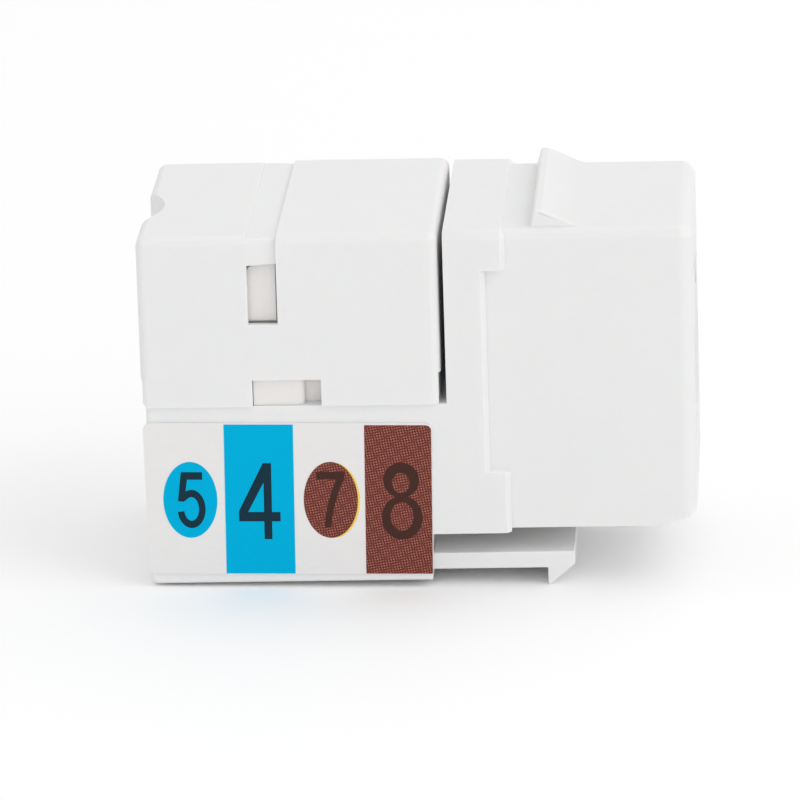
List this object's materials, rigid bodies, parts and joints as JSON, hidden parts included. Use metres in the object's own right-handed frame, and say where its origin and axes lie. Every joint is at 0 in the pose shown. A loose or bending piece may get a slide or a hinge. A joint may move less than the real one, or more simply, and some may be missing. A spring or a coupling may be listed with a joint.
{
  "type": "keystone jack",
  "caption": "Right-angle punch-down modular jack insert with a plug port, fixed catch, flexible latch arm, wiring label and lift-off dust cap.",
  "frame": {"origin": "middle of the bounding box, at the level of the latch hook's tip", "axes": "+X out of the plug port, +Z from the latch arm to the fixed catch wedge, the wiring label on the -Y side"},
  "size_m": [0.0292, 0.0164, 0.0204],
  "materials": {
    "white_plastic": "fine satin moulding in white ABS",
    "label_paper": "coated paper label with printed blue and brown fields",
    "board_laminate": "glass-epoxy board with solder mask",
    "gold_plate": "gold-plated phosphor bronze wire",
    "tin_plate": "tin-plated phosphor bronze strip"
  },
  "bodies": {
    "jack_body": {"housing": "white_plastic", "terminal_block": "white_plastic", "wiring_label": "label_paper", "circuit_board": "board_laminate", "contact_carrier": "white_plastic", "base_cover": "white_plastic", "spring_contact_1": "gold_plate", "spring_contact_2": "gold_plate", "spring_contact_3": "gold_plate", "spring_contact_4": "gold_plate", "spring_contact_5": "gold_plate", "spring_contact_6": "gold_plate", "spring_contact_7": "gold_plate", "spring_contact_8": "gold_plate", "idc_terminal_1": "tin_plate", "idc_terminal_2": "tin_plate", "idc_terminal_3": "tin_plate", "idc_terminal_4": "tin_plate", "idc_terminal_5": "tin_plate", "idc_terminal_6": "tin_plate", "idc_terminal_7": "tin_plate", "idc_terminal_8": "tin_plate"},
    "cap": {"dust_cap": "white_plastic"},
    "latch": {"latch_arm": "white_plastic"}
  },
  "joints": [
    {"name": "cap_lift", "type": "slide", "parent": "jack_body", "child": "cap", "axis": [0, 0, 1], "range_m": [0, 0.012]},
    {"name": "latch_flex", "type": "hinge", "parent": "jack_body", "child": "latch", "pos_m": [0.00032, 0, 0.00138], "axis": [0, -1, 0], "range_deg": [0, 8], "stiffness_Nm_per_rad": 0.45}
  ]
}
